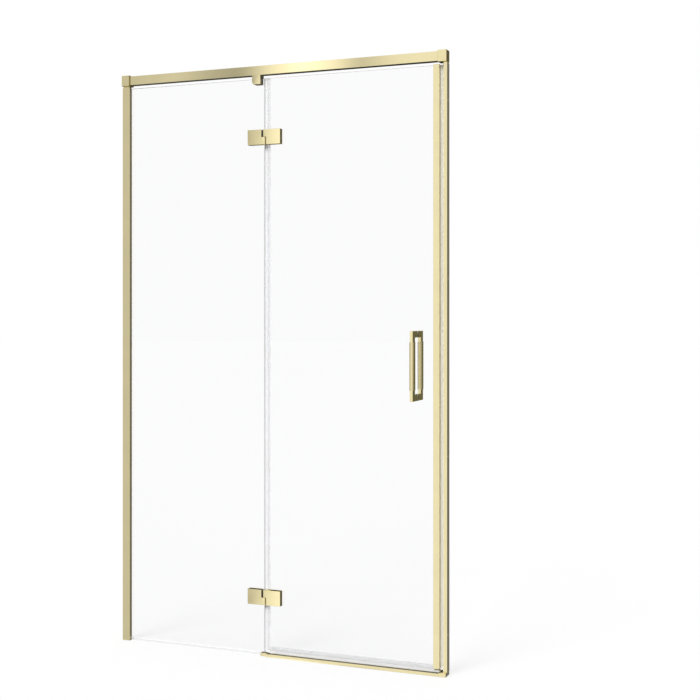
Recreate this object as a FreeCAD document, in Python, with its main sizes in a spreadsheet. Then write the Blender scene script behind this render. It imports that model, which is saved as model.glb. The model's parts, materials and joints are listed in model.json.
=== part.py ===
import FreeCAD, Part
import os
import Sketcher

# In-line shower door: a fixed glass panel on the left carries, on two glass-to-glass hinges,
# a door that opens outward on the right. A rail across the top joins both wall profiles.
# Frame: X along the door from the left wall to the right wall, Y from the dry side in front to
# the wet side behind, Z up. The origin is on the floor, midway between the walls, in the glass
# mid-plane.

SIZES = {
    # whole door
    "overall_width": 1200,
    "overall_height": 2000,
    # glass panels
    "glass_thickness": 8,
    "glass_bevel": 0.6,
    "fixed_panel_edge": 549.5,
    "door_gap": 12,
    "glass_under_rail": 10,
    "fixed_glass_lift": 3,
    "door_glass_lift": 17,
    "foot_wall": 1,
    "foot_leg": 6,
    # left wall profile, a channel for the fixed glass with a hollow in front
    "left_profile_width": 29,
    "profile_front": 15,
    "profile_wall": 1.6,
    "profile_back_lip": 20,
    "gasket_thickness": 1,
    "glass_inset": 8,
    "left_profile_drop": 5,
    # right wall profile, with a groove for its magnetic seal
    "right_profile_width": 12,
    "right_profile_drop": 2,
    # wall fixing holes, in a line up each wall profile
    "wall_hole_radius": 2.75,
    "wall_hole_margin": 120,
    # stabilising rail
    "rail_height": 31,
    "rail_front": 16,
    "rail_back": 2,
    "rail_wall": 1.6,
    # corner connectors between the rail and the wall profiles
    "connector_width": 30,
    "connector_over_rail": 3,
    "connector_under_rail": 4,
    "connector_front_lip": 6,
    "connector_back_lip": 1,
    "connector_bevel": 1,
    "connector_plug": 22,
    "connector_neck": 25,
    "plug_clearance": 0.3,
    # bracket that holds the fixed glass to the rail
    "bracket_width": 31.5,
    "bracket_margin": 8.5,
    "bracket_drop": 31,
    "bracket_corner": 6,
    "bracket_jaw": 3,
    "bracket_liner": 1,
    "bracket_bevel": 0.8,
    "bracket_screw_radius": 2.5,
    # closing edge of the door
    "closing_gap": 16,
    "edge_profile_width": 20,
    "edge_profile_front": 10,
    "edge_profile_back": 2,
    "edge_pocket_depth": 14,
    "edge_profile_lift": 3,
    "bond_gap": 0.25,
    # magnetic seals
    "magnet_offset": 2.3,
    "magnet_depth": 7,
    "magnet_gap": 0.6,
    "magnet_bevel": 1.2,
    "seal_groove_width": 3,
    "seal_groove_depth": 4,
    "seal_fit": 0.1,
    # clear seals clipped on the door glass
    "seal_wall": 1.2,
    "seal_leg": 10,
    "bulb_depth": 6,
    "bulb_wall": 0.8,
    "bulb_clearance": 0.5,
    "drip_web": 1.5,
    "drip_leg": 12,
    "drip_drop": 7.2,
    "drip_reach": 10.5,
    "drip_fin": 1,
    # hinges
    "hinge_height": 51,
    "hinge_reach": 60.5,
    "hinge_thickness": 18,
    "hinge_bevel": 0.5,
    "hinge_pad": 1,
    "hinge_pad_margin": 2,
    "knuckle_radius": 5.5,
    "knuckle_clearance": 3.5,
    "flange_thickness": 0.9,
    "flange_gap": 0.1,
    "upper_hinge_drop": 201,
    "lower_hinge_height": 198,
    "notch_clearance": 0.5,
    # hinge pin and its bearing sleeve
    "pin_radius": 3,
    "sleeve_thickness": 1,
    "running_clearance": 0.05,
    "knuckle_end_wall": 2,
    # clamps that hold the hinge leaves through the glass
    "clamp_from_axis": 36,
    "clamp_hole_radius": 8,
    "clamp_plate_width": 32,
    "clamp_plate_height": 42,
    "clamp_plate_thickness": 4,
    "clamp_plate_bevel": 0.8,
    "clamp_clearance": 0.1,
    "screw_radius": 3,
    "screw_head_radius": 5.4,
    "screw_head_height": 3,
    "screw_depth": 10,
    "screw_tip_gap": 1,
    # back-to-back pull handles
    "handle_height": 226,
    "handle_width": 9.8,
    "handle_bar_depth": 24,
    "handle_reach": 51,
    "handle_post": 21,
    "handle_bevel": 0.6,
    "handle_centre": 989,
    "handle_from_edge": 60.5,
    "handle_pad": 0.8,
    "grip_length": 155,
    "grip_swell": 2.4,
    "grip_round": 7,
    "tenon_length": 14,
    "tenon_inset": 2.2,
    "stud_radius": 2.5,
    "stud_hole_radius": 4.2,
    "stud_embed": 16,
    "stud_clearance": 0.1,
    # threshold
    "threshold_depth": 40,
    "threshold_front": 25,
    "threshold_height": 8,
    "threshold_wall": 1.5,
    "threshold_toe": 2.5,
    "threshold_slope": 7,
    "threshold_lip": 12.5,
    "lip_thickness": 3,
    "cap_width": 24,
    "cap_height": 13,
    "cap_inset": 2,
    "cap_bevel": 1,
    "cap_plug": 15,
    "left_cap_width": 22,
    "left_cap_height": 11,
    "left_cap_overlap": 7,
    "left_cap_setback": 6.5,
    "left_cap_gap": 1,
    # overrun of a cutting tool past a face
    "overrun": 1,
}
WALL_HOLES = 4
HEX_SIDES = 6
SAME_PLACE = 1e-6


class Length:
    """A length with the expression that ties it to the sheet of sizes."""

    def __init__(self, value, text):
        self.value = value
        self.text = text

    def __add__(self, other):
        return Length(self.value + other.value, f"({self.text} + {other.text})")

    def __sub__(self, other):
        return Length(self.value - other.value, f"({self.text} - {other.text})")

    def __mul__(self, count):
        return Length(self.value * count, f"({self.text} * {count})")

    def __truediv__(self, count):
        return Length(self.value / count, f"({self.text} / {count})")

    def __neg__(self):
        return Length(-self.value, f"(0 - {self.text})")


class Sizes:
    """The driving sizes, each as a Length."""


NONE = Length(0, "0")

doc = FreeCAD.newDocument("shower_door")
sheet = doc.addObject("Spreadsheet::Sheet", "Sizes")
size = Sizes()
for row, (name, millimetres) in enumerate(SIZES.items(), start=1):
    sheet.set(f"A{row}", name)
    sheet.set(f"B{row}", str(millimetres))
    sheet.setAlias(f"B{row}", name)
    setattr(size, name, Length(millimetres, f"Sizes.{name}"))
doc.recompute()

# Places along X
left_wall = -size.overall_width / 2
right_wall = size.overall_width / 2
fixed_glass_left = left_wall + size.glass_inset
fixed_glass_right = left_wall + size.fixed_panel_edge
left_profile_right = left_wall + size.left_profile_width
door_glass_left = fixed_glass_right + size.door_gap
hinge_axis = fixed_glass_right + size.door_gap / 2
right_profile_left = right_wall - size.right_profile_width
edge_profile_right = right_profile_left - size.closing_gap
edge_profile_left = edge_profile_right - size.edge_profile_width
door_glass_right = edge_profile_left + size.edge_pocket_depth
rail_left = left_wall + size.connector_width
rail_right = right_wall - size.connector_width
bracket_left = fixed_glass_right - size.bracket_margin - size.bracket_width
left_cap_left = fixed_glass_right - size.left_cap_overlap
bar_left = left_cap_left + size.left_cap_width
bar_right = right_wall - size.cap_inset - size.cap_width
handle_middle = edge_profile_left - size.handle_from_edge

# Places along Y
glass_back = size.glass_thickness / 2
glass_front = -glass_back
profile_front = glass_front - size.profile_front
profile_back = glass_back + size.gasket_thickness + size.profile_wall
profile_depth = profile_back - profile_front
rail_front = glass_front - size.rail_front
rail_depth = size.rail_front + size.glass_thickness + size.rail_back
hinge_line = glass_front - size.hinge_pad - size.hinge_thickness + size.knuckle_radius

# Places along Z
connector_height = size.connector_over_rail + size.rail_height + size.connector_under_rail
connector_bottom = size.overall_height - connector_height
rail_bottom = connector_bottom + size.connector_under_rail
glass_top = rail_bottom - size.glass_under_rail
left_profile_top = connector_bottom - size.left_profile_drop
right_profile_top = connector_bottom - size.right_profile_drop
upper_hinge_height = glass_top - size.upper_hinge_drop
door_glass_height = glass_top - size.door_glass_lift

UPRIGHT = FreeCAD.Rotation(0, 0, 0)
TURNED_ABOUT_Y = FreeCAD.Rotation(FreeCAD.Vector(0, 1, 0), 180)
TURNED_ABOUT_Z = FreeCAD.Rotation(FreeCAD.Vector(0, 0, 1), 180)
ALONG_X = FreeCAD.Rotation(FreeCAD.Vector(0, 1, 0), 90)
ALONG_BACK = FreeCAD.Rotation(FreeCAD.Vector(1, 0, 0), -90)

nodes = []


def bind(thing, **lengths):
    """Ties properties of an object to the sizes."""
    for prop, length in lengths.items():
        thing.setExpression(prop, length.text)


def place(thing, x, y, z, turn=UPRIGHT):
    """Turns an object and ties its position to the sizes."""
    thing.Placement = FreeCAD.Placement(FreeCAD.Vector(x.value, y.value, z.value), turn)
    for axis, length in zip("xyz", (x, y, z)):
        thing.setExpression(f"Placement.Base.{axis}", length.text)


def new_body(label, x=NONE, y=NONE, z=NONE, turn=UPRIGHT):
    """A body for one piece, noted as a node under its label."""
    body = doc.addObject("PartDesign::Body", label)
    body.Label = label
    place(body, x, y, z, turn)
    nodes.append(body)
    return body


def new_sketch(body, plane):
    """A sketch on one of the body's own origin planes."""
    sketch = body.newObject("Sketcher::SketchObject", f"{body.Name}_sketch")
    support = [item for item in body.Origin.OriginFeatures if item.Role == plane][0]
    sketch.AttachmentSupport = (support, [""])
    sketch.MapMode = "FlatFace"
    return sketch


def add_loop(sketch, corners):
    """Straight sides through the corners, each corner tied to both sketch axes."""
    first = sketch.GeometryCount
    count = len(corners)
    points = [FreeCAD.Vector(x.value, y.value, 0) for x, y in corners]
    sketch.addGeometry(
        [Part.LineSegment(a, b) for a, b in zip(points, points[1:] + points[:1])], False
    )
    rules = [
        Sketcher.Constraint("Coincident", first + i, 2, first + (i + 1) % count, 1)
        for i in range(count)
    ]
    start = sketch.ConstraintCount + count
    for i, (x, y) in enumerate(corners):
        rules.append(Sketcher.Constraint("DistanceX", -1, 1, first + i, 1, x.value))
        rules.append(Sketcher.Constraint("DistanceY", -1, 1, first + i, 1, y.value))
    sketch.addConstraint(rules)
    for i, (x, y) in enumerate(corners):
        sketch.setExpression(f"Constraints[{start + 2 * i}]", x.text)
        sketch.setExpression(f"Constraints[{start + 2 * i + 1}]", y.text)


def rectangle(x0, y0, x1, y1):
    return [(x0, y0), (x1, y0), (x1, y1), (x0, y1)]


def pad(body, plane, loops, length):
    """Extrudes loops drawn on a plane through the body's origin, along the plane's normal."""
    sketch = new_sketch(body, plane)
    for corners in loops:
        add_loop(sketch, corners)
    feature = body.newObject("PartDesign::Pad", f"{body.Name}_pad")
    feature.Profile = sketch
    bind(feature, Length=length)
    return feature


def revolve(body, corners):
    """Turns a half section about the body's Y axis: corners are radius and place along Y."""
    sketch = new_sketch(body, "XY_Plane")
    add_loop(sketch, corners)
    feature = body.newObject("PartDesign::Revolution", f"{body.Name}_turned")
    feature.Profile = sketch
    feature.ReferenceAxis = (sketch, ["V_Axis"])
    feature.Angle = 360
    return feature


def box(body, kind, start, end):
    """Adds or cuts a block between two corners."""
    feature = body.newObject(f"PartDesign::{kind}Box", f"{body.Name}_block")
    place(feature, *start)
    spans = [high - low for low, high in zip(start, end)]
    bind(feature, Length=spans[0], Width=spans[1], Height=spans[2])
    return feature


def bore(body, radius, length, start, turn=UPRIGHT):
    """Cuts a round hole from start, along Z as turned."""
    feature = body.newObject("PartDesign::SubtractiveCylinder", f"{body.Name}_bore")
    place(feature, *start, turn)
    bind(feature, Radius=radius, Height=length)
    return feature


def edges_where(feature, wanted):
    """Names of the feature's straight or round edges whose ends and middle all pass."""
    doc.recompute()
    names = []
    for number, edge in enumerate(feature.Shape.Edges, start=1):
        low, high = edge.ParameterRange
        spots = [edge.valueAt(low), edge.valueAt((low + high) / 2), edge.valueAt(high)]
        if wanted(spots):
            names.append(f"Edge{number}")
    return names


def bevel(body, feature, names, length, kind="Chamfer"):
    """Breaks or rounds the named edges."""
    dressed = body.newObject(f"PartDesign::{kind}", f"{body.Name}_edges")
    dressed.Base = (feature, names)
    bind(dressed, **{"Size" if kind == "Chamfer" else "Radius": length})
    return dressed


def same(number, length):
    return abs(number - length.value) < SAME_PLACE


def wall_holes(body, radius, start, height, reach):
    """Cuts the line of wall fixing holes along X, evenly spaced up a profile."""
    step = (height - size.wall_hole_margin * 2) / (WALL_HOLES - 1)
    x, y, z = start
    for number in range(WALL_HOLES):
        spot = (x, y, z + size.wall_hole_margin + step * number)
        bore(body, radius, reach, spot, ALONG_X)


def left_wall_profile():
    """Channel for the fixed glass, with a closed hollow in front of it."""
    body = new_body("left_wall_profile", left_wall, profile_front)
    width = size.left_profile_width
    wall = size.profile_wall
    pocket_back = profile_depth - wall
    pocket_front = pocket_back - size.glass_thickness - size.gasket_thickness * 2
    outline = [
        (NONE, NONE),
        (width, NONE),
        (width, pocket_front),
        (wall, pocket_front),
        (wall, pocket_back),
        (size.profile_back_lip, pocket_back),
        (size.profile_back_lip, profile_depth),
        (NONE, profile_depth),
    ]
    hollow = rectangle(wall, wall, width - wall, pocket_front - wall)
    pad(body, "XY_Plane", [outline, hollow], left_profile_top)
    start = (-size.overrun, -profile_front, NONE)
    reach = size.overrun * 2 + wall
    wall_holes(body, size.wall_hole_radius, start, left_profile_top, reach)


def left_profile_gasket():
    """Soft channel that lines the profile's pocket round the edge of the glass."""
    back = size.gasket_thickness
    body = new_body("left_profile_gasket", fixed_glass_left, NONE, NONE)
    mouth = size.left_profile_width - size.glass_inset
    back_mouth = size.profile_back_lip - size.glass_inset
    outside = glass_back + size.gasket_thickness
    outline = [
        (mouth, -outside),
        (mouth, -glass_back),
        (NONE, -glass_back),
        (NONE, glass_back),
        (back_mouth, glass_back),
        (back_mouth, outside),
        (-back, outside),
        (-back, -outside),
    ]
    pad(body, "XY_Plane", [outline], glass_top)


def right_wall_profile():
    """Closing profile: an open chamber over the wall holes and a groove for its seal."""
    wall = size.profile_wall
    width = size.right_profile_width
    body = new_body("right_wall_profile", right_profile_left, profile_front, size.cap_height)
    height = right_profile_top - size.cap_height
    groove_middle = size.magnet_offset - profile_front
    groove_front = groove_middle - size.seal_groove_width / 2
    groove_back = groove_middle + size.seal_groove_width / 2
    chamber_back = groove_front - wall
    outline = [
        (NONE, NONE),
        (width, NONE),
        (width, profile_depth),
        (NONE, profile_depth),
        (NONE, groove_back),
        (size.seal_groove_depth, groove_back),
        (size.seal_groove_depth, groove_front),
        (NONE, groove_front),
        (NONE, chamber_back),
        (width - wall, chamber_back),
        (width - wall, wall),
        (NONE, wall),
    ]
    pad(body, "XY_Plane", [outline], height)
    start = (width - wall - size.overrun, (wall + chamber_back) / 2, NONE)
    wall_holes(body, size.wall_hole_radius, start, height, size.overrun * 2 + wall)


def glass_edges(body, feature):
    """Breaks the long edges of both faces of a glass panel."""
    sides = {size.glass_thickness.value, 0}
    names = edges_where(
        feature,
        lambda spots: len({round(spot.y, 6) for spot in spots}) == 1 and round(spots[0].y, 6) in sides,
    )
    return bevel(body, feature, names, size.glass_bevel)


def clamp_holes(body, spots):
    """Cuts the holes for the hinge clamps through a panel."""
    reach = size.glass_thickness + size.overrun * 2
    for x, z in spots:
        bore(body, size.clamp_hole_radius, reach, (x, -size.overrun, z), ALONG_BACK)


def fixed_glass():
    """Fixed panel, held in the left profile, on its foot strip and under the bracket."""
    bottom = size.fixed_glass_lift
    body = new_body("fixed_glass", fixed_glass_left, glass_front, bottom)
    width = fixed_glass_right - fixed_glass_left
    height = glass_top - bottom
    panel = box(body, "Additive", (NONE, NONE, NONE), (width, size.glass_thickness, height))
    glass_edges(body, panel)
    x = hinge_axis - size.clamp_from_axis - fixed_glass_left
    spots = [(x, upper_hinge_height - bottom), (x, size.lower_hinge_height - bottom)]
    clamp_holes(body, spots)


def door_glass():
    """Door panel, with holes for the hinge clamps and the handle studs."""
    bottom = size.door_glass_lift
    body = new_body("door_glass", door_glass_left, glass_front, bottom)
    width = door_glass_right - door_glass_left
    panel = box(
        body, "Additive", (NONE, NONE, NONE), (width, size.glass_thickness, door_glass_height)
    )
    glass_edges(body, panel)
    x = hinge_axis + size.clamp_from_axis - door_glass_left
    spots = [(x, upper_hinge_height - bottom), (x, size.lower_hinge_height - bottom)]
    clamp_holes(body, spots)
    for height in handle_post_heights():
        spot = (handle_middle - door_glass_left, -size.overrun, height - bottom)
        reach = size.glass_thickness + size.overrun * 2
        bore(body, size.stud_hole_radius, reach, spot, ALONG_BACK)


def fixed_glass_foot():
    """Clear channel that the fixed glass stands in on the tray."""
    start = left_profile_right + size.plug_clearance
    body = new_body("fixed_glass_foot", start)
    outside = glass_back + size.foot_wall
    top = size.fixed_glass_lift + size.foot_leg
    outline = [
        (-outside, NONE),
        (outside, NONE),
        (outside, top),
        (glass_back, top),
        (glass_back, size.fixed_glass_lift),
        (-glass_back, size.fixed_glass_lift),
        (-glass_back, top),
        (-outside, top),
    ]
    pad(body, "YZ_Plane", [outline], fixed_glass_right - start)


def top_rail():
    """Hollow rail between the two corner connectors."""
    body = new_body("top_rail", rail_left, rail_front, rail_bottom)
    wall = size.rail_wall
    outside = rectangle(NONE, NONE, rail_depth, size.rail_height)
    hollow = rectangle(wall, wall, rail_depth - wall, size.rail_height - wall)
    pad(body, "YZ_Plane", [outside, hollow], rail_right - rail_left)


def corner_connector(label, wall_x, turn_sign, neck_start, neck_end):
    """Block at the end of the rail: a plug enters the rail and a neck enters the profile."""
    front = rail_front - size.connector_front_lip
    depth = size.connector_front_lip + rail_depth + size.connector_back_lip
    left = wall_x if turn_sign > 0 else wall_x - size.connector_width
    body = new_body(label, left, front, connector_bottom)
    width = size.connector_width
    block = box(body, "Additive", (NONE, NONE, NONE), (width, depth, connector_height))
    names = edges_where(block, lambda spots: True)
    bevel(body, block, names, size.connector_bevel)
    gap = size.rail_wall + size.plug_clearance
    plug_low = size.connector_under_rail + gap
    plug_high = size.connector_under_rail + size.rail_height - gap
    plug_front = size.connector_front_lip + gap
    plug_back = size.connector_front_lip + rail_depth - gap
    root = size.connector_bevel * 2
    plug_start = width - root if turn_sign > 0 else -size.connector_plug
    plug_end = width + size.connector_plug if turn_sign > 0 else root
    box(body, "Additive", (plug_start, plug_front, plug_low), (plug_end, plug_back, plug_high))
    neck_front, neck_back = neck_start[1] - front, neck_end[1] - front
    box(
        body,
        "Additive",
        (neck_start[0] - left, neck_front, -size.connector_neck),
        (neck_end[0] - left, neck_back, root),
    )


def corner_connectors():
    gap = size.profile_wall + size.plug_clearance
    front = profile_front + gap
    hollow_back = glass_front - size.gasket_thickness - gap
    chamber_back = size.magnet_offset - size.seal_groove_width / 2 - gap
    corner_connector(
        "left_corner_connector",
        left_wall,
        1,
        (left_wall + gap, front),
        (left_profile_right - gap, hollow_back),
    )
    corner_connector(
        "right_corner_connector",
        right_wall,
        -1,
        (right_profile_left + size.plug_clearance, front),
        (right_wall - gap, chamber_back),
    )


def cut_corner(body, feature, length):
    """Cuts the lower left corner off a block, as seen from the front."""
    names = edges_where(
        feature,
        lambda spots: all(same(spot.x, NONE) and same(spot.z, NONE) for spot in spots),
    )
    return bevel(body, feature, names, length)


def rail_bracket():
    """Bracket under the rail, with a lined slot over the top edge of the fixed glass."""
    half_slot = glass_back + size.bracket_liner
    back = half_slot + size.bracket_jaw
    bottom = rail_bottom - size.bracket_drop
    body = new_body("rail_bracket", bracket_left, NONE, bottom)
    slot_top = glass_top - bottom + size.bracket_liner
    outline = [
        (rail_front, NONE),
        (-half_slot, NONE),
        (-half_slot, slot_top),
        (half_slot, slot_top),
        (half_slot, NONE),
        (back, NONE),
        (back, size.bracket_drop),
        (rail_front, size.bracket_drop),
    ]
    block = pad(body, "YZ_Plane", [outline], size.bracket_width)
    block = cut_corner(body, block, size.bracket_corner)
    names = edges_where(
        block,
        lambda spots: all(same(spot.y, rail_front) for spot in spots)
        and not all(same(spot.z, size.bracket_drop) for spot in spots),
    )
    bevel(body, block, names, size.bracket_bevel)
    height = (glass_top - bottom) / 2
    start = (size.bracket_width / 2, half_slot - size.overrun, height)
    reach = size.bracket_jaw + size.overrun * 2
    radius = size.bracket_screw_radius + size.stud_clearance
    bore(body, radius, reach, start, ALONG_BACK)

    liner = new_body("rail_bracket_liner", bracket_left, NONE, bottom)
    glass_reach = glass_top - bottom
    outline = [
        (-half_slot, NONE),
        (-glass_back, NONE),
        (-glass_back, glass_reach),
        (glass_back, glass_reach),
        (glass_back, NONE),
        (half_slot, NONE),
        (half_slot, slot_top),
        (-half_slot, slot_top),
    ]
    lining = pad(liner, "YZ_Plane", [outline], size.bracket_width)
    cut_corner(liner, lining, size.bracket_corner)

    middle = bracket_left + size.bracket_width / 2
    screw = new_body("rail_bracket_screw", middle, half_slot, bottom + height)
    end = size.bracket_jaw
    revolve(screw, rectangle(NONE, NONE, size.bracket_screw_radius, end))
    key = size.bracket_screw_radius / 2
    hexagon(screw, "Subtractive", key, end / 2 + size.overrun, end / 2)


def hexagon(body, kind, radius, length, start):
    """Adds or cuts a six-sided prism from start along Y."""
    prism = body.newObject(f"PartDesign::{kind}Prism", f"{body.Name}_hexagon")
    prism.Polygon = HEX_SIDES
    place(prism, NONE, start, NONE, ALONG_BACK)
    bind(prism, Circumradius=radius, Height=length)


def threshold():
    """Low hollow bar under the door, with a sloping front, a lip behind and a cap at each end."""
    front = glass_front - size.threshold_front
    back = front + size.threshold_depth
    body = new_body("threshold_bar", bar_left)
    outline = [
        (front, NONE),
        (back, NONE),
        (back, size.threshold_lip),
        (back - size.lip_thickness, size.threshold_lip),
        (back - size.lip_thickness, size.threshold_height),
        (front + size.threshold_slope, size.threshold_height),
        (front, size.threshold_toe),
    ]
    wall = size.threshold_wall
    hollow_front = front + size.threshold_slope
    hollow_back = back - size.lip_thickness
    hollow_top = size.threshold_height - wall
    hollow = rectangle(hollow_front, wall, hollow_back, hollow_top)
    pad(body, "YZ_Plane", [outline, hollow], bar_right - bar_left)

    clear = size.plug_clearance
    plug_low, plug_high = wall + clear, hollow_top - clear
    plug_front, plug_back = hollow_front + clear, hollow_back - clear
    right_cap = new_body("threshold_right_cap", bar_right, front)
    end = (size.cap_width, size.threshold_depth, size.cap_height)
    block = box(right_cap, "Additive", (NONE, NONE, NONE), end)
    names = edges_where(
        block,
        lambda spots: all(same(spot.z, size.cap_height) for spot in spots)
        and (same(spots[1].x, NONE) or same(spots[1].y, NONE)),
    )
    bevel(right_cap, block, names, size.cap_bevel)
    start = (-size.cap_plug, plug_front - front, plug_low)
    box(right_cap, "Additive", start, (NONE, plug_back - front, plug_high))

    left_cap = new_body("threshold_left_cap", left_cap_left)
    cap_back = glass_front - size.foot_wall - size.left_cap_gap
    start = (NONE, front + size.left_cap_setback, NONE)
    block = box(left_cap, "Additive", start, (size.left_cap_width, cap_back, size.left_cap_height))
    names = edges_where(
        block,
        lambda spots: all(same(spot.z, size.left_cap_height) for spot in spots),
    )
    bevel(left_cap, block, names, size.cap_bevel)
    start = (size.left_cap_width, plug_front, plug_low)
    box(left_cap, "Additive", start, (size.left_cap_width + size.cap_plug, plug_back, plug_high))


def door_edge_profile():
    """Closing profile on the door glass: glass pocket, front hollow and seal groove."""
    front = glass_front - size.edge_profile_front
    back = glass_back + size.edge_profile_back
    bottom = size.door_glass_lift + size.edge_profile_lift
    body = new_body("door_edge_profile", edge_profile_left, NONE, bottom)
    width = size.edge_profile_width
    wall = size.profile_wall
    pocket = glass_back + size.bond_gap
    pocket_end = size.edge_pocket_depth + size.bond_gap
    groove_front = size.magnet_offset - size.seal_groove_width / 2
    groove_back = size.magnet_offset + size.seal_groove_width / 2
    groove_end = width - size.seal_groove_depth
    outline = [
        (NONE, front),
        (width, front),
        (width, groove_front),
        (groove_end, groove_front),
        (groove_end, groove_back),
        (width, groove_back),
        (width, back),
        (NONE, back),
        (NONE, pocket),
        (pocket_end, pocket),
        (pocket_end, -pocket),
        (NONE, -pocket),
    ]
    hollow = rectangle(wall, front + wall, width - wall, -pocket - wall)
    pad(body, "XY_Plane", [outline, hollow], glass_top - bottom)


def magnet_seals():
    """Pair of magnetic seals that meet in the closing gap, each with a foot in a groove."""
    half = size.magnet_depth / 2
    foot = size.seal_groove_width / 2 - size.seal_fit
    foot_length = size.seal_groove_depth - size.seal_fit
    reach = (size.closing_gap - size.magnet_gap) / 2
    nose = size.magnet_bevel
    outline = [
        (-foot_length, -foot),
        (NONE, -foot),
        (NONE, -half),
        (reach - nose, -half),
        (reach, -half + nose),
        (reach, half - nose),
        (reach - nose, half),
        (NONE, half),
        (NONE, foot),
        (-foot_length, foot),
    ]
    bottom = size.door_glass_lift + size.edge_profile_lift
    door_seal = new_body("door_magnet_seal", edge_profile_right, size.magnet_offset, bottom)
    pad(door_seal, "XY_Plane", [outline], glass_top - bottom)
    wall_seal = new_body(
        "wall_magnet_seal", right_profile_left, size.magnet_offset, size.cap_height, TURNED_ABOUT_Z
    )
    pad(wall_seal, "XY_Plane", [outline], right_profile_top - size.cap_height)


def hinge_side_seal():
    """Clear seal on the hinge edge of the door: a clip on the glass and a hollow bulb."""
    body = new_body("hinge_side_seal", door_glass_left, NONE, size.door_glass_lift)
    outside = glass_back + size.seal_wall
    web = -size.seal_wall
    tip = size.bulb_clearance - size.door_gap
    half = size.bulb_depth / 2
    slope = half / 2
    outline = [
        (size.seal_leg, -glass_back),
        (NONE, -glass_back),
        (NONE, glass_back),
        (size.seal_leg, glass_back),
        (size.seal_leg, outside),
        (web, outside),
        (web, half),
        (tip + slope, half),
        (tip, half - slope),
        (tip, slope - half),
        (tip + slope, -half),
        (web, -half),
        (web, -outside),
        (size.seal_leg, -outside),
    ]
    inner = half - size.bulb_wall
    hollow = rectangle(tip + slope, -inner, web - size.bulb_wall, inner)
    pad(body, "XY_Plane", [outline, hollow], door_glass_height)
    half_notch = size.hinge_height / 2 + size.notch_clearance
    for height in (upper_hinge_height, size.lower_hinge_height):
        middle = height - size.door_glass_lift
        box(
            body,
            "Subtractive",
            (web - size.overrun, -outside - size.overrun, middle - half_notch),
            (size.seal_leg + size.overrun, -glass_back, middle + half_notch),
        )


def bottom_drip_seal():
    """Clear seal under the door: a clip on the glass, a sloping deflector and a wiper."""
    start = door_glass_left + size.seal_leg + size.seal_fit
    body = new_body("bottom_drip_seal", start, NONE, size.door_glass_lift)
    outside = glass_back + size.seal_wall
    web = -size.drip_web
    clip = [
        (-outside, size.drip_leg),
        (-glass_back, size.drip_leg),
        (-glass_back, NONE),
        (glass_back, NONE),
        (glass_back, size.drip_leg),
        (outside, size.drip_leg),
        (outside, web),
        (-outside, web),
    ]
    pad(body, "YZ_Plane", [clip], edge_profile_left - size.seal_fit - start)
    fin = size.drip_fin
    low = -size.drip_drop
    skirt = [
        (-outside, NONE),
        (outside, NONE),
        (outside, web),
        (glass_back, web),
        (glass_back, low),
        (glass_back - fin, low),
        (glass_back - fin, web),
        (-glass_back, web),
        (-outside - size.drip_reach + fin, low),
        (-outside - size.drip_reach, low + fin),
    ]
    pad(body, "YZ_Plane", [skirt], edge_profile_right - start)


def hinge_leaf(label, height, turn, bore_radius):
    """Leaf with its half of the knuckle. Turned half about Y, the fixed leaf makes the door's."""
    body = new_body(label, hinge_axis, hinge_line, height, turn)
    half = size.hinge_height / 2
    radius = size.knuckle_radius
    back = size.hinge_thickness - radius
    split = (size.flange_thickness + size.flange_gap) / 2
    shoulder = -radius - size.knuckle_clearance
    box(
        body,
        "Additive",
        (-size.hinge_reach, -radius, -half),
        (shoulder, back, half),
    )
    sketch = new_sketch(body, "XY_Plane")
    bind(sketch, **{"AttachmentOffset.Base.z": -half})
    corner = FreeCAD.Vector(shoulder.value, radius.value, 0)
    low_corner = FreeCAD.Vector(shoulder.value, -radius.value, 0)
    rim = FreeCAD.Vector(0, radius.value, 0)
    round_end = Part.Arc(-rim, FreeCAD.Vector(radius.value, 0, 0), rim)
    sketch.addGeometry(
        [
            Part.LineSegment(low_corner, -rim),
            round_end,
            Part.LineSegment(rim, corner),
            Part.LineSegment(corner, low_corner),
        ],
        False,
    )
    sketch.addConstraint(
        [
            Sketcher.Constraint("Coincident", 0, 2, 1, 1),
            Sketcher.Constraint("Coincident", 1, 2, 2, 1),
            Sketcher.Constraint("Coincident", 2, 2, 3, 1),
            Sketcher.Constraint("Coincident", 3, 2, 0, 1),
            Sketcher.Constraint("Coincident", 1, 3, -1, 1),
            Sketcher.Constraint("Horizontal", 0),
            Sketcher.Constraint("Horizontal", 2),
            Sketcher.Constraint("Vertical", 3),
            Sketcher.Constraint("PointOnObject", 1, 1, -2),
            Sketcher.Constraint("Radius", 1, radius.value),
            Sketcher.Constraint("DistanceX", -1, 1, 3, 1, shoulder.value),
        ]
    )
    sketch.setExpression("Constraints[9]", radius.text)
    sketch.setExpression("Constraints[10]", shoulder.text)
    knuckle = body.newObject("PartDesign::Pad", f"{body.Name}_knuckle")
    knuckle.Profile = sketch
    bind(knuckle, Length=half - split)
    names = edges_where(
        knuckle,
        lambda spots: all(same(abs(spot.z), half) for spot in spots)
        or all(same(spot.x, -size.hinge_reach) for spot in spots),
    )
    bevel(body, knuckle, names, size.hinge_bevel)
    pin_start = size.knuckle_end_wall - half
    bore(body, bore_radius, half, (NONE, NONE, pin_start))
    screw_hole = size.screw_radius + size.clamp_clearance
    start = (-size.clamp_from_axis, back - size.screw_depth, NONE)
    bore(body, screw_hole, size.screw_depth + size.overrun, start, ALONG_BACK)


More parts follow.
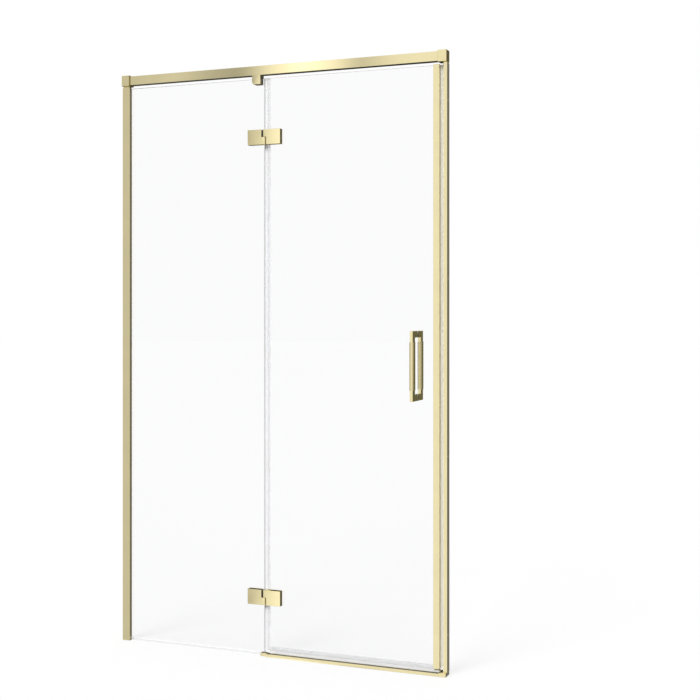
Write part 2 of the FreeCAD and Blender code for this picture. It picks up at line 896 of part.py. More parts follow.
def hinge_pad(label, side, height):
    """Soft pad between a hinge leaf and the glass."""
    inner = size.knuckle_radius + size.knuckle_clearance + size.hinge_pad_margin
    outer = size.hinge_reach - size.hinge_pad_margin
    half = size.hinge_height / 2 - size.hinge_pad_margin
    left = inner if side > 0 else -outer
    right = outer if side > 0 else -inner
    body = new_body(label, hinge_axis, glass_front, height)
    box(body, "Additive", (left, -size.hinge_pad, -half), (right, NONE, half))
    start = (size.clamp_from_axis * side, -size.hinge_pad - size.overrun, NONE)
    radius = size.screw_radius + size.clamp_clearance * 2
    bore(body, radius, size.hinge_pad + size.overrun * 2, start, ALONG_BACK)


def hinge_clamp(prefix, side, height):
    """Clamp plate behind the glass, on a flanged six-sided bush in the hole, and its screw."""
    x = hinge_axis + size.clamp_from_axis * side
    half_width = size.clamp_plate_width / 2
    half_height = size.clamp_plate_height / 2
    hole = size.screw_radius + size.clamp_clearance
    bush = new_body(f"{prefix}_bush", x, glass_front, height)
    bush_back = size.glass_thickness + size.hinge_pad
    box(
        bush,
        "Additive",
        (-half_width, size.glass_thickness, -half_height),
        (half_width, bush_back, half_height),
    )
    collar = size.clamp_hole_radius - size.clamp_clearance
    hexagon(bush, "Additive", collar, bush_back, NONE)
    bore(bush, hole, bush_back + size.overrun * 2, (NONE, -size.overrun, NONE), ALONG_BACK)

    clamp = new_body(f"{prefix}_clamp", x, glass_back + size.hinge_pad, height)
    thickness = size.clamp_plate_thickness
    plate = box(
        clamp,
        "Additive",
        (-half_width, NONE, -half_height),
        (half_width, thickness, half_height),
    )
    names = edges_where(plate, lambda spots: all(same(spot.y, thickness) for spot in spots))
    bevel(clamp, plate, names, size.clamp_plate_bevel)
    bore(clamp, hole, thickness + size.overrun * 2, (NONE, -size.overrun, NONE), ALONG_BACK)

    back = glass_back + size.hinge_pad + thickness
    reach = back - glass_front + size.hinge_pad + size.screw_depth - size.screw_tip_gap
    screw = new_body(f"{prefix}_screw", x, back, height)
    shank = screw.newObject("PartDesign::AdditiveCylinder", f"{screw.Name}_shank")
    place(shank, NONE, -reach, NONE, ALONG_BACK)
    bind(shank, Radius=size.screw_radius, Height=reach)
    hexagon(screw, "Additive", size.screw_head_radius, size.screw_head_height, NONE)


def hinge(prefix, height):
    """One glass-to-glass hinge: leaves, pads, clamps, a pin and its flanged sleeve."""
    pin_bore = size.pin_radius + size.running_clearance
    sleeve_outer = pin_bore + size.sleeve_thickness
    sleeve_bore = sleeve_outer + size.running_clearance
    hinge_leaf(f"{prefix}_fixed_leaf", height, UPRIGHT, pin_bore)
    hinge_leaf(f"{prefix}_door_leaf", height, TURNED_ABOUT_Y, sleeve_bore)
    for name, side in (("fixed", -1), ("door", 1)):
        hinge_pad(f"{prefix}_{name}_pad", side, height)
        hinge_clamp(f"{prefix}_{name}", side, height)
    inside = size.hinge_height / 2 - size.knuckle_end_wall
    pin = new_body(f"{prefix}_pin", hinge_axis, hinge_line, height - inside)
    upright_rod(pin, size.pin_radius, inside * 2 - size.running_clearance)
    split = (size.flange_thickness + size.flange_gap) / 2
    flange_bottom = height + split - size.flange_thickness
    sleeve = new_body(f"{prefix}_sleeve", hinge_axis, hinge_line, flange_bottom)
    length = height + inside - size.running_clearance - flange_bottom
    upright_rod(sleeve, sleeve_outer, length)
    upright_rod(sleeve, size.knuckle_radius - size.running_clearance, size.flange_thickness)
    bore(sleeve, pin_bore, length + size.overrun * 2, (NONE, NONE, -size.overrun))


def upright_rod(body, radius, length):
    """Rod from the body's origin, along the body's Z."""
    rod = body.newObject("PartDesign::AdditiveCylinder", f"{body.Name}_rod")
    bind(rod, Radius=radius, Height=length)


def handle_post_heights():
    reach = size.handle_height / 2 - size.handle_post / 2
    return (size.handle_centre + reach, size.handle_centre - reach)


def handle_end(label, turn):
    """Square end of a handle: a post to the glass and a stub of the bar with a tenon.

    Drawn for the upper end in front of the glass, about the middle of the handle.
    """
    body = new_body(label, handle_middle, NONE, size.handle_centre, turn)
    half = size.handle_width / 2
    front = glass_front - size.handle_reach
    bar_back = front + size.handle_bar_depth
    foot = glass_front - size.handle_pad
    top = size.handle_height / 2
    under = top - size.handle_post
    shoulder = size.grip_length / 2
    sketch = new_sketch(body, "YZ_Plane")
    bind(sketch, **{"AttachmentOffset.Base.z": -half})
    outline = [
        (front, shoulder),
        (bar_back, shoulder),
        (bar_back, under),
        (foot, under),
        (foot, top),
        (front, top),
    ]
    add_loop(sketch, outline)
    block = body.newObject("PartDesign::Pad", f"{body.Name}_block")
    block.Profile = sketch
    bind(block, Length=size.handle_width)
    names = edges_where(
        block,
        lambda spots: all(same(spot.z, top) for spot in spots)
        or all(same(spot.y, front) for spot in spots) and not same(spots[1].z, shoulder),
    )
    bevel(body, block, names, size.handle_bevel)
    inset = size.tenon_inset
    box(
        body,
        "Additive",
        (inset - half, front + inset * 2, shoulder - size.tenon_length),
        (half - inset, bar_back - inset * 2, shoulder + inset),
    )
    start = (NONE, foot - size.stud_embed, top - size.handle_post / 2)
    radius = size.stud_radius + size.stud_clearance
    bore(body, radius, size.stud_embed + size.overrun, start, ALONG_BACK)


def handle_grip(label, turn):
    """Rounded grip between the two ends, mortised for their tenons."""
    front = glass_front - size.handle_reach
    middle = front + size.handle_bar_depth / 2
    body = new_body(label, handle_middle, NONE, size.handle_centre, turn)
    half_width = size.handle_width / 2 + size.grip_swell
    half_depth = size.handle_bar_depth / 2 + size.grip_swell
    half = size.grip_length / 2
    block = box(
        body,
        "Additive",
        (-half_width, middle - half_depth, -half),
        (half_width, middle + half_depth, half),
    )
    names = edges_where(block, lambda spots: abs(spots[0].z - spots[2].z) > SAME_PLACE)
    bevel(body, block, names, size.grip_round, "Fillet")
    inset = size.tenon_inset - size.stud_clearance
    half_tenon = size.handle_width / 2 - inset
    depth = size.tenon_length + size.plug_clearance
    edge = size.tenon_inset * 2 - size.stud_clearance
    for low, high in ((half - depth, half + size.overrun), (-half - size.overrun, depth - half)):
        box(
            body,
            "Subtractive",
            (-half_tenon, front + edge, low),
            (half_tenon, front + size.handle_bar_depth - edge, high),
        )


def handle_pads_and_studs():
    """Soft pads under the posts, and the studs that tie both handles through the glass."""
    half_width = size.handle_width / 2
    half_post = size.handle_post / 2
    for end, height in zip(("upper", "lower"), handle_post_heights()):
        for side, start in (("outer", glass_front - size.handle_pad), ("inner", glass_back)):
            body = new_body(f"{side}_handle_{end}_pad", handle_middle, start, height)
            box(
                body,
                "Additive",
                (-half_width, NONE, -half_post),
                (half_width, size.handle_pad, half_post),
            )
            spot = (NONE, -size.overrun, NONE)
            radius = size.stud_radius + size.stud_clearance
            bore(body, radius, size.handle_pad + size.overrun * 2, spot, ALONG_BACK)
        reach = glass_back + size.handle_pad + size.stud_embed - size.stud_clearance
        stud = new_body(f"handle_{end}_stud", handle_middle, -reach, height, ALONG_BACK)
        upright_rod(stud, size.stud_radius, reach * 2)


def handles():
    both = TURNED_ABOUT_Z.multiply(TURNED_ABOUT_Y)
    handle_end("outer_handle_upper_end", UPRIGHT)
    handle_end("outer_handle_lower_end", TURNED_ABOUT_Y)
    handle_end("inner_handle_upper_end", TURNED_ABOUT_Z)
    handle_end("inner_handle_lower_end", both)
    handle_grip("outer_handle_grip", UPRIGHT)
    handle_grip("inner_handle_grip", TURNED_ABOUT_Z)
    handle_pads_and_studs()


def check():
    """Stops if any object of the document failed or any piece is empty or broken."""
    for item in doc.Objects:
        if "Invalid" in item.State or "Error" in item.State:
            raise RuntimeError(f"{item.Label} failed: {item.State}")
    for node in nodes:
        if node.Shape.isNull() or not node.Shape.isValid():
            raise RuntimeError(f"{node.Label} has no valid shape")
        if len(node.Shape.Solids) != 1:
            raise RuntimeError(f"{node.Label} has {len(node.Shape.Solids)} solids")


left_wall_profile()
left_profile_gasket()
right_wall_profile()
fixed_glass()
fixed_glass_foot()
door_glass()
top_rail()
corner_connectors()
rail_bracket()
threshold()
door_edge_profile()
magnet_seals()
hinge_side_seal()
bottom_drip_seal()
hinge("upper_hinge", upper_hinge_height)
hinge("lower_hinge", size.lower_hinge_height)
handles()
doc.recompute()
check()

os.makedirs("parts", exist_ok=True)
for node in nodes:
    node.Shape.exportStep(f"parts/{node.Label}.step")
print(len(nodes), "pieces")
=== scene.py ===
import json
import math

import bpy
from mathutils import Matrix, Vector


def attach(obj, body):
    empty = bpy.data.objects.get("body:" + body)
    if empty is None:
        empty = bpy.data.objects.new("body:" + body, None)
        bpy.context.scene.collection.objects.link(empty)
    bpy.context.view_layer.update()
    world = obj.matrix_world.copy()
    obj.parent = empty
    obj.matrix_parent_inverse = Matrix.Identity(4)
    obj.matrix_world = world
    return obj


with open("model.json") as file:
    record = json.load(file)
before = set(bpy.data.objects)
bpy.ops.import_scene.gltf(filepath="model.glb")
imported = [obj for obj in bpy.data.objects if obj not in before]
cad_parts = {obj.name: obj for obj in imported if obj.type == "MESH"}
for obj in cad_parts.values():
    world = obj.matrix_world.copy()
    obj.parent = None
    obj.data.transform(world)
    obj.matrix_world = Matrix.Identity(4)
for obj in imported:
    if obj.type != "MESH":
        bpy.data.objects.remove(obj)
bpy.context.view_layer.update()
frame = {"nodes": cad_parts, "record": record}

nodes = frame["nodes"]
MM = 0.001


# Node trees

MIX_A, MIX_B, MIX_RESULT = 6, 7, 2  # the colour sockets of a mix node


class Tree:
    """The node tree of a material or world, with short ways to add nodes and wire them."""

    def __init__(self, owner):
        owner.use_nodes = True
        self.tree = owner.node_tree

    def node(self, kind, **settings):
        made = self.tree.nodes.new(kind)
        for key, value in settings.items():
            setattr(made, key, value)
        return made

    def link(self, out, into):
        self.tree.links.new(out, into)

    def maths(self, operation, *values):
        """A maths node. Each value is a number or another node's output."""
        made = self.node("ShaderNodeMath", operation=operation)
        for socket, value in zip(made.inputs, values):
            if isinstance(value, (int, float)):
                socket.default_value = value
            else:
                self.link(value, socket)
        return made.outputs["Value"]

    def map_range(self, source, old, new, **settings):
        """Maps the range old to the range new, and holds what lies outside at its ends."""
        mapped = self.node("ShaderNodeMapRange", **settings)
        for socket, value in zip(("From Min", "From Max", "To Min", "To Max"), (*old, *new)):
            mapped.inputs[socket].default_value = value
        self.link(source, mapped.inputs["Value"])
        return mapped.outputs["Result"]

    def mix_shaders(self, share, first, second):
        mix = self.node("ShaderNodeMixShader")
        for socket, out in zip(mix.inputs, (share, first.outputs[0], second.outputs[0])):
            self.link(out, socket)
        return mix


# Materials

NOISE_MIDDLE = (0.3, 0.7)  # where most of a noise lies
SIDEWAYS = (0.4, 0.9)  # for the painted side shade: from hardly turned to the right or down to fully turned


class Look(Tree):
    """A material with its Principled shader, and short ways to add detail to it."""

    def __init__(self, name, colour, roughness, **sockets):
        self.material = bpy.data.materials.new(name)
        super().__init__(self.material)
        self.shader = self.tree.nodes["Principled BSDF"]
        self.shader.inputs["Base Color"].default_value = (*colour, 1)
        self.shader.inputs["Roughness"].default_value = roughness
        for socket, value in sockets.items():
            self.shader.inputs[socket.replace("_", " ")].default_value = value
        self.place = self.node("ShaderNodeTexCoord").outputs["Object"]

    def noise(self, scale, stretch=(1, 1, 1), detail=3.0):
        """Noise in the object's own space: scale is in cells per metre, stretch per axis."""
        mapping = self.node("ShaderNodeMapping")
        mapping.inputs["Scale"].default_value = stretch
        self.link(self.place, mapping.inputs["Vector"])
        noise = self.node("ShaderNodeTexNoise")
        noise.inputs["Scale"].default_value = scale
        noise.inputs["Detail"].default_value = detail
        self.link(mapping.outputs["Vector"], noise.inputs["Vector"])
        return noise.outputs["Fac"]

    def colours(self, source, dark, light):
        """Blends the base colour from dark to light by source."""
        ramp = self.node("ShaderNodeValToRGB")
        stops = zip(ramp.color_ramp.elements, NOISE_MIDDLE, (dark, light))
        for element, position, colour in stops:
            element.position = position
            element.color = (*colour, 1)
        self.link(source, ramp.inputs["Fac"])
        self.link(ramp.outputs["Color"], self.shader.inputs["Base Color"])
        return ramp.outputs["Color"]

    def paint_side_shade(self, colour, share):
        """Painted shade: turns the colour down to a share of itself on faces that look right or
        down.
        """
        facing = self.node("ShaderNodeSeparateXYZ")
        self.link(self.node("ShaderNodeTexCoord").outputs["Normal"], facing.inputs["Vector"])
        down = self.maths("MULTIPLY", facing.outputs["Z"], -1)
        turned = self.maths("MAXIMUM", facing.outputs["X"], down)
        scaled = self.node("ShaderNodeVectorMath", operation="SCALE")
        self.link(colour, scaled.inputs[0])
        self.link(self.map_range(turned, SIDEWAYS, (1, share)), scaled.inputs["Scale"])
        self.link(scaled.outputs["Vector"], self.shader.inputs["Base Color"])

    def roughen(self, source, low, high):
        roughness = self.map_range(source, NOISE_MIDDLE, (low, high))
        self.link(roughness, self.shader.inputs["Roughness"])

    def bump(self, source, strength, distance):
        """Bump by source, with the distance in millimetres."""
        bump = self.node("ShaderNodeBump")
        bump.inputs["Strength"].default_value = strength
        bump.inputs["Distance"].default_value = distance * MM
        self.link(source, bump.inputs["Height"])
        self.link(bump.outputs["Normal"], self.shader.inputs["Normal"])


def shade(colour, factor):
    return tuple(min(1.0, channel * factor) for channel in colour)


GOLD = (0.82, 0.722, 0.415)
GOLD_AT_THE_RIM = (0.78, 0.69, 0.31)  # seen along the surface, where a metal turns paler
CLEAR_PLASTIC = (1, 1.002, 1.015)


def gold_extrusion(name, stretch):
    """Satin anodised extrusion: fine die lines along its length over a slightly uneven tone."""
    look = Look(name, GOLD, 0.05, Metallic=1.0, Coat_Weight=0.8, Coat_Roughness=0.06)
    look.colours(look.noise(14, detail=4), shade(GOLD, 0.97), shade(GOLD, 1.02))
    lines = look.noise(900, stretch)
    look.roughen(lines, low=0.035, high=0.07)
    look.bump(lines, strength=0.04, distance=0.03)
    return look.material


def gold_plated(name, sides=1):
    """Plated cast hardware: a fine even grain over a slightly uneven tone.

    sides is the share of the colour that is left on faces that look right or down, as painted
    shade.
    """
    look = Look(name, GOLD, 0.06, Metallic=1.0, Coat_Weight=0.2, Coat_Roughness=0.06)
    look.shader.inputs["Specular Tint"].default_value = (*GOLD_AT_THE_RIM, 1)
    plating = look.colours(look.noise(30, detail=4), shade(GOLD, 0.985), shade(GOLD, 1.045))
    # painted shade: faces that look right or down are darker
    if sides != 1:
        look.paint_side_shade(plating, sides)
    look.roughen(look.noise(60), low=0.04, high=0.08)
    look.bump(look.noise(2600), strength=0.05, distance=0.04)
    return look.material


def clear_glass():
    """Clear glass: faint waviness on the faces."""
    look = Look("clear_glass", (0.98, 0.982, 0.981), 0.0, IOR=1.5, Transmission_Weight=1.0)
    look.colours(look.noise(1.5, detail=1), (0.977, 0.981, 0.979), (0.981, 0.984, 0.983))
    look.bump(look.noise(4, detail=1), strength=0.02, distance=0.2)
    return look.material


def clear_seal(name, face_on, edge_on, tone=0.95, clip_share=1):
    """Clear flexible plastic with faint lines along its length: see-through, with a haze.

    face_on and edge_on are the haze seen straight on and seen along the surface, and tone is
    how light it is. The haze fades to clip_share of itself towards the seal's right end.
    """
    look = Look(name, shade(CLEAR_PLASTIC, tone), 0.25, IOR=1.45)
    dark, light = (shade(CLEAR_PLASTIC, tone + change) for change in (-0.01, 0.01))
    look.colours(look.noise(20), dark, light)
    lines = look.noise(700, (0.01, 1, 0.01))
    look.roughen(lines, low=0.2, high=0.32)
    look.bump(lines, strength=0.1, distance=0.05)
    facing = look.node("ShaderNodeLayerWeight")
    facing.inputs["Blend"].default_value = 0.4
    haze = look.map_range(facing.outputs["Facing"], (0, 1), (face_on, edge_on))
    across = look.node("ShaderNodeSeparateXYZ")
    look.link(look.node("ShaderNodeTexCoord").outputs["Generated"], across.inputs["Vector"])
    share = look.map_range(across.outputs["X"], (0.55, 0.95), (1, clip_share))
    look.link(look.maths("MULTIPLY", haze, share), look.shader.inputs["Alpha"])
    return look.material


def magnet_seal():
    """Pale flexible plastic over the magnet strip, with faint lines along its length."""
    look = Look("magnet_seal", (0.90, 0.885, 0.80), 0.35, IOR=1.45)
    lines = look.noise(900, ALONG_Z)
    look.colours(lines, (0.87, 0.85, 0.765), (0.93, 0.915, 0.83))
    look.roughen(look.noise(50), low=0.3, high=0.4)
    look.bump(lines, strength=0.1, distance=0.05)
    return look.material


def soft_pad():
    """Pale soft gasket: matt, with a fine moulded grain."""
    look = Look("soft_pad", (0.62, 0.62, 0.59), 0.6)
    look.colours(look.noise(120), (0.58, 0.58, 0.55), (0.66, 0.66, 0.63))
    look.bump(look.noise(1800), strength=0.2, distance=0.05)
    return look.material


def bearing_nylon():
    """Dark bearing plastic with a moulded grain."""
    look = Look("bearing_nylon", (0.03, 0.03, 0.028), 0.45)
    look.colours(look.noise(200), (0.022, 0.022, 0.02), (0.04, 0.04, 0.037))
    look.bump(look.noise(1500), strength=0.2, distance=0.05)
    return look.material


def steel_fastener():
    """Stainless steel, with turning marks round the shank."""
    look = Look("steel_fastener", (0.56, 0.55, 0.53), 0.28, Metallic=1.0)
    look.colours(look.noise(80), (0.52, 0.51, 0.49), (0.60, 0.59, 0.57))
    turned = look.noise(1500, (0.1, 1, 0.1))
    look.roughen(turned, low=0.22, high=0.34)
    look.bump(turned, strength=0.15, distance=0.05)
    return look.material


ALONG_X = (0.004, 1, 1)
ALONG_Z = (1, 1, 0.004)
level_gold = gold_extrusion("gold_profile_level", ALONG_X)
by_slot = {
    "gold_profile": gold_extrusion("gold_profile", ALONG_Z),
    "gold_hardware": gold_plated("gold_hardware"),
    "clear_glass": clear_glass(),
    "clear_seal": clear_seal("clear_seal", face_on=0.06, edge_on=0.32),
    "magnet_seal": magnet_seal(),
    "soft_pad": soft_pad(),
    "bearing_nylon": bearing_nylon(),
    "steel_fastener": steel_fastener(),
}
own_material = {
    "top_rail": level_gold,
    "threshold_bar": level_gold,
    # the corner connectors carry painted shade on faces that look right or down
    "left_corner_connector": gold_plated("gold_hardware_left_corner_painted_shade", sides=0.45),
    "right_corner_connector": gold_plated("gold_hardware_right_corner_painted_shade", sides=0.65),
    "hinge_side_seal": clear_seal(
        "clear_seal_frosted", face_on=0.5, edge_on=0.65, tone=0.96, clip_share=0.25
    ),
    "bottom_drip_seal": clear_seal("clear_seal_hazy", face_on=0.35, edge_on=0.7, tone=0.78),
}
slots = {row["node"]: row["material_slot"] for row in frame["record"]["subparts"]}
for name, piece in nodes.items():
    material = own_material.get(name, by_slot[slots[name]])
    piece.data.materials.clear()
    piece.data.materials.append(material)


# Edges: crisp on every piece, and slightly rounded on the extrusions and their caps

WELD_REACH = 0.005  # millimetres
ROUNDING_STEPS = 2
ROUNDED_ABOVE = 40  # degrees between the faces
# on a rounded piece the steps are flat too, so that no broad face is shaded as if it curved
SPLIT_ABOVE_ROUNDED = 16
SPLIT_ABOVE = 35
BY_AREA_ONLY = 100  # the large faces set the normals

ROUNDED = {  # millimetres
    "top_rail": 0.4,
    "left_wall_profile": 0.2,
    "right_wall_profile": 0.4,
    "door_edge_profile": 0.4,
    "threshold_bar": 0.4,
    "threshold_left_cap": 0.4,
    "threshold_right_cap": 0.4,
    "rail_bracket": 0.3,
}


def crisp(piece, width=0):
    """Flat faces meet at crisp edges, rounded by width in millimetres if that is given."""
    weld = piece.modifiers.new("weld", "WELD")
    weld.merge_threshold = WELD_REACH * MM
    if width:
        rounded = piece.modifiers.new("rounded", "BEVEL")
        rounded.width = width * MM
        rounded.segments = ROUNDING_STEPS
        rounded.limit_method = "ANGLE"
        rounded.angle_limit = math.radians(ROUNDED_ABOVE)
    split = piece.modifiers.new("split", "EDGE_SPLIT")
    split.split_angle = math.radians(SPLIT_ABOVE_ROUNDED if width else SPLIT_ABOVE)
    smooth = piece.modifiers.new("smooth", "WEIGHTED_NORMAL")
    smooth.weight = BY_AREA_ONLY


for name, piece in nodes.items():
    crisp(piece, ROUNDED.get(name, 0))

for name in ("fixed_glass", "door_glass"):
    nodes[name].visible_shadow = False


# Small pieces, in millimetres: set screws, the cover on the top end of the door's closing
# profile, and dark strips that paint the shade in the hinges' slots

RING_POINTS = 24
HEXAGON_SIDES = 6
CORNER_POINTS = 4


def round_ring(radius, height):
    turns = [math.tau * index / RING_POINTS for index in range(RING_POINTS)]
    return [(radius * math.cos(turn), radius * math.sin(turn), height) for turn in turns]


def six_sided_ring(half_width, height):
    side = math.tau / HEXAGON_SIDES
    ring = []
    for x, y, z in round_ring(1, height):
        turn = math.atan2(y, x) % side - side / 2
        reach = half_width / math.cos(turn)
        ring.append((x * reach, y * reach, z))
    return ring


def rounded_ring(width, depth, corner, height):
    ring = []
    for quarter, (side, front) in enumerate(((1, 1), (-1, 1), (-1, -1), (1, -1))):
        for step in range(CORNER_POINTS):
            turn = math.radians(90 * (quarter + step / (CORNER_POINTS - 1)))
            x = side * (width / 2 - corner) + corner * math.cos(turn)
            y = front * (depth / 2 - corner) + corner * math.sin(turn)
            ring.append((x, y, height))
    return ring


def stack(name, rings):
    """A closed solid of rings that have the same number of points."""
    count = len(rings[0])
    points = [tuple(value * MM for value in point) for ring in rings for point in ring]
    faces = [tuple(reversed(range(count)))]
    for level in range(len(rings) - 1):
        for index in range(count):
            after = (index + 1) % count
            low = level * count
            faces.append((low + index, low + after, low + count + after, low + count + index))
    faces.append(tuple(range(len(points) - count, len(points))))
    mesh = bpy.data.meshes.new(name)
    mesh.from_pydata(points, [], faces)
    piece = bpy.data.objects.new(name, mesh)
    bpy.context.scene.collection.objects.link(piece)
    crisp(piece)
    return piece


def plate(name, width, depth, thickness, corner, broken):
    """A plate with round corners, its upper edge broken by that width."""
    return stack(name, [
        rounded_ring(width, depth, corner, 0),
        rounded_ring(width, depth, corner, thickness - broken),
        rounded_ring(width - 2 * broken, depth - 2 * broken, corner - broken, thickness),
    ])


def put(piece, place):
    piece.location = [value * MM for value in place]


SCREW_RADIUS = 2.5
SCREW_PROUD = 0.6
SCREW_BROKEN = 0.2
SOCKET_MOUTH = 1.6
SOCKET_HALF_WIDTH = 1.25
SOCKET_LEAD_IN = 0.05
SOCKET_FLOOR = 0.1
FACING_DOWN = 180
FACING_BACK = -90


def set_screw(name, body, place, tilt):
    """A small screw with a six-sided socket, just proud of the face it sits in."""
    piece = stack(name, [
        round_ring(SCREW_RADIUS, 0),
        round_ring(SCREW_RADIUS, SCREW_PROUD - SCREW_BROKEN),
        round_ring(SCREW_RADIUS - SCREW_BROKEN, SCREW_PROUD),
        round_ring(SOCKET_MOUTH, SCREW_PROUD),
        six_sided_ring(SOCKET_HALF_WIDTH, SCREW_PROUD - SOCKET_LEAD_IN),
        six_sided_ring(SOCKET_HALF_WIDTH, SOCKET_FLOOR),
    ])
    put(piece, place)
    piece.rotation_euler.x = math.radians(tilt)
    piece.data.materials.append(by_slot["steel_fastener"])
    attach(piece, body)


# under the inner handle's posts, and in the back of the corner connectors
set_screw("handle_upper_set_screw", "door", (491.5, 14, 1081), FACING_DOWN)
set_screw("handle_lower_set_screw", "door", (491.5, 14, 876), FACING_DOWN)
set_screw("rail_left_set_screw", "frame", (-559, 6, 1981.5), FACING_BACK)
set_screw("rail_right_set_screw", "frame", (559, 6, 1981.5), FACING_BACK)

cover = plate(
    "door_edge_top_cover", width=19.2, depth=19.2, thickness=1.1, corner=1, broken=0.3
)
put(cover, (562, -4, 1956))
cover.data.materials.append(by_slot["gold_hardware"])
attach(cover, "door")

FIXED_LEAF_END = -53.5
LEAF_MIDDLE = -14
FACING_RIGHT = 90


def slot_shade_strip(name, middle_height):
    """Thin dark strip on the fixed leaf's end, in the slot beside the door leaf's knuckle:
    painted shade for the slot.
    """
    piece = plate(name, width=24, depth=16.6, thickness=0.4, corner=1, broken=0.15)
    put(piece, (FIXED_LEAF_END, LEAF_MIDDLE, middle_height))
    piece.rotation_euler.y = math.radians(FACING_RIGHT)
    piece.data.materials.append(by_slot["bearing_nylon"])
    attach(piece, "frame")


# dark strips that paint the shade in the slots beside the knuckles
slot_shade_strip("upper_hinge_slot_shade_strip", 1767.4)
slot_shade_strip("lower_hinge_slot_shade_strip", 210.4)


# Camera, at the photograph's viewing angle

LEVEL = 90
TURNED_LEFT = 21.54

camera_data = bpy.data.cameras.new("camera")
camera_data.sensor_width = 36
camera_data.lens = 62.43
camera_data.shift_y = -0.0543
camera_data.clip_start = 0.05
camera_data.clip_end = 200
camera = bpy.data.objects.new("camera", camera_data)
camera.location = (1.7324, -3.7307, 1.1632)
camera.rotation_euler = (math.radians(LEVEL), 0, math.radians(TURNED_LEFT))
bpy.context.scene.collection.objects.link(camera)
bpy.context.scene.camera = camera
bpy.context.scene.view_settings.view_transform = "Standard"


# Studio: what reflections see is strip lights in front, light behind and dark in between.
# The camera, and what is seen through the glass, get a plain white surround.

STUDIO = [  # degrees from straight in front, positive to the left, and the level there
    (-180, 0.8),
    (-170, 0.62),
    (-164.5, 0.24),
    (-160.5, 0.07),
    (-153, 0.07),
    (-148, 0.13),
    (-135, 0.28),
    (-60, 0.7),
    (-10, 1.0),
    (17.5, 1.0),
    (18.8, 1.13),
    (19.6, 1.02),
    (20.7, 0.66),
    (21.3, 0.68),
    (22.0, 0.92),
    (22.6, 1.36),
    (23.1, 1.56),
    (24.4, 1.56),
    (25.0, 1.3),
    (25.6, 0.9),
    (26.4, 0.46),
    (27.3, 0.38),
    (28.3, 0.62),
    (29.0, 0.83),
    (30.3, 0.77),
    (31.5, 0.68),
    (60, 0.78),
    (112, 0.5),
    (140, 0.1),
    (163, 0.03),
    (170, 0.62),
    (180, 0.8),
]
ABOVE = 1.0
BELOW = 0.5
STEEP = (0.4, 0.85)  # sines of the slopes between which the level turns to ABOVE or BELOW
IN_GLASS = 0.76
# a ray that has met the glass once, or gone in, met its back and come out, counts 2 or 4 here
GLASS_RAY_DEPTH = 4.5
HALF_TURN = 180
FULL_TURN = 360


def studio_world():
    world = bpy.data.worlds.new("studio")
    shading = Tree(world)
    shading.tree.nodes.clear()
    maths = shading.maths
    top = max(level for _, level in STUDIO)

    def grey(level):
        return (*(level / top,) * 3, 1)

    def blend(around, share, level):
        mixed = shading.node("ShaderNodeMix", data_type="RGBA")
        shading.link(share, mixed.inputs["Factor"])
        shading.link(around, mixed.inputs[MIX_A])
        mixed.inputs[MIX_B].default_value = grey(level)
        return mixed.outputs[MIX_RESULT]

    direction = shading.node("ShaderNodeSeparateXYZ")
    coordinates = shading.node("ShaderNodeTexCoord")
    shading.link(coordinates.outputs["Generated"], direction.inputs["Vector"])
    x, y, z = direction.outputs
    turn = maths("DEGREES", maths("ARCTAN2", maths("MULTIPLY", x, -1), maths("MULTIPLY", y, -1)))
    ramp = shading.node("ShaderNodeValToRGB")
    elements = ramp.color_ramp.elements
    for index, (angle, level) in enumerate(STUDIO):
        position = (angle + HALF_TURN) / FULL_TURN
        element = elements[index] if index < 2 else elements.new(position)
        element.position = position
        element.color = grey(level)
    place = maths("DIVIDE", maths("ADD", turn, HALF_TURN), FULL_TURN)
    shading.link(place, ramp.inputs["Fac"])
    around = ramp.outputs["Color"]
    for height, level in ((z, ABOVE), (maths("MULTIPLY", z, -1), BELOW)):
        steep = shading.map_range(height, STEEP, (0, 1), interpolation_type="SMOOTHSTEP")
        around = blend(around, steep, level)

    # what the clear glass itself mirrors in front is even, whatever the gold mirrors there
    path = shading.node("ShaderNodeLightPath").outputs
    few = maths("LESS_THAN", path["Ray Depth"], GLASS_RAY_DEPTH)
    sharp = maths("MULTIPLY", few, path["Is Singular Ray"])
    around = blend(around, maths("MULTIPLY", sharp, maths("LESS_THAN", y, 0)), IN_GLASS)
    studio = shading.node("ShaderNodeBackground")
    studio.inputs["Strength"].default_value = top
    shading.link(around, studio.inputs["Color"])

    backdrop = shading.node("ShaderNodeBackground")
    backdrop.inputs["Color"].default_value = (1, 1, 1, 1)
    unmirrored = maths("GREATER_THAN", 1, path["Glossy Depth"])
    through = maths("MULTIPLY", unmirrored, path["Is Transmission Ray"])
    seen = maths("MAXIMUM", path["Is Camera Ray"], through)
    mix = shading.mix_shaders(seen, studio, backdrop)
    out = shading.node("ShaderNodeOutputWorld")
    shading.link(mix.outputs[0], out.inputs["Surface"])
    bpy.context.scene.world = world


studio_world()


# Floor: it glows by what the lights leave it short of white, and reflections miss it

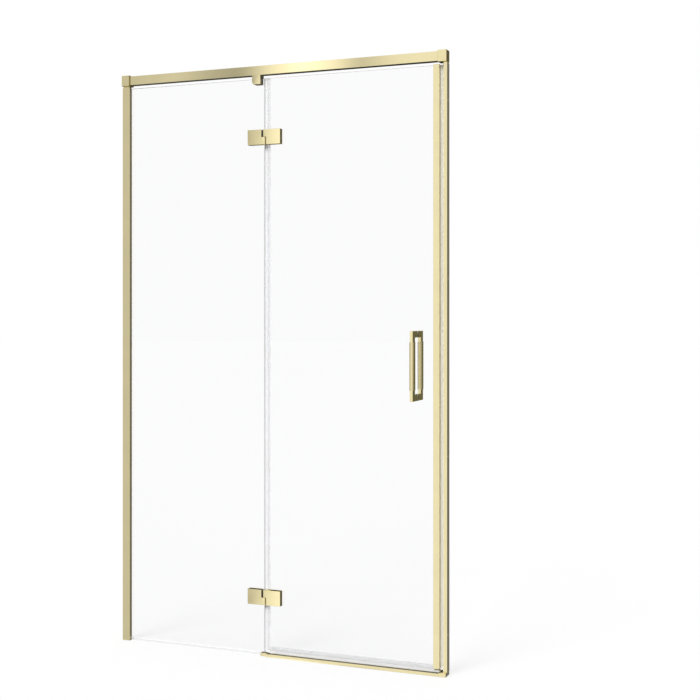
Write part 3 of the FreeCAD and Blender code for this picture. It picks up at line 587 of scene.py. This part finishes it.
FLOOR_REACH = 40
FLOOR_DROP = 0.5  # millimetres below the part
FLOOR_GREY = 0.2
FLOOR_GLOW = 0.741


def floor_material():
    material = bpy.data.materials.new("floor")
    shading = Tree(material)
    shading.tree.nodes.clear()
    path = shading.node("ShaderNodeLightPath").outputs
    diffuse = shading.node("ShaderNodeBsdfDiffuse")
    diffuse.inputs["Color"].default_value = (FLOOR_GREY, FLOOR_GREY, FLOOR_GREY, 1)
    glow = shading.node("ShaderNodeEmission")
    seen = shading.maths("MAXIMUM", path["Is Camera Ray"], path["Is Transmission Ray"])
    shading.link(shading.maths("MULTIPLY", seen, FLOOR_GLOW), glow.inputs["Strength"])
    lit = shading.node("ShaderNodeAddShader")
    shading.link(diffuse.outputs[0], lit.inputs[0])
    shading.link(glow.outputs[0], lit.inputs[1])
    # a reflection that goes on through the glass misses the floor, as other reflections do
    missed = shading.maths("MINIMUM", path["Glossy Depth"], path["Is Transmission Ray"])
    mix = shading.mix_shaders(missed, lit, shading.node("ShaderNodeBsdfTransparent"))
    out = shading.node("ShaderNodeOutputMaterial")
    shading.link(mix.outputs[0], out.inputs["Surface"])
    return material


def floor():
    mesh = bpy.data.meshes.new("floor")
    near, far = -FLOOR_REACH, FLOOR_REACH
    corners = [(near, near, 0), (far, near, 0), (far, far, 0), (near, far, 0)]
    mesh.from_pydata(corners, [], [(0, 1, 2, 3)])
    mesh.materials.append(floor_material())
    piece = bpy.data.objects.new("floor", mesh)
    piece.location.z = -FLOOR_DROP * MM
    piece.visible_glossy = False
    bpy.context.scene.collection.objects.link(piece)


floor()


# Key light: from above in front, soft, and unseen itself

def soft_light(name, direction, spread, strength):
    data = bpy.data.lights.new(name, "SUN")
    data.angle = math.radians(spread)
    data.energy = strength
    light = bpy.data.objects.new(name, data)
    light.rotation_mode = "QUATERNION"
    light.rotation_quaternion = Vector(direction).to_track_quat("-Z", "Y")
    light.visible_glossy = False
    light.visible_camera = False
    light.visible_transmission = False
    bpy.context.scene.collection.objects.link(light)


soft_light("key_light", direction=(0.25, 1.0, -0.8), spread=30, strength=2.6)
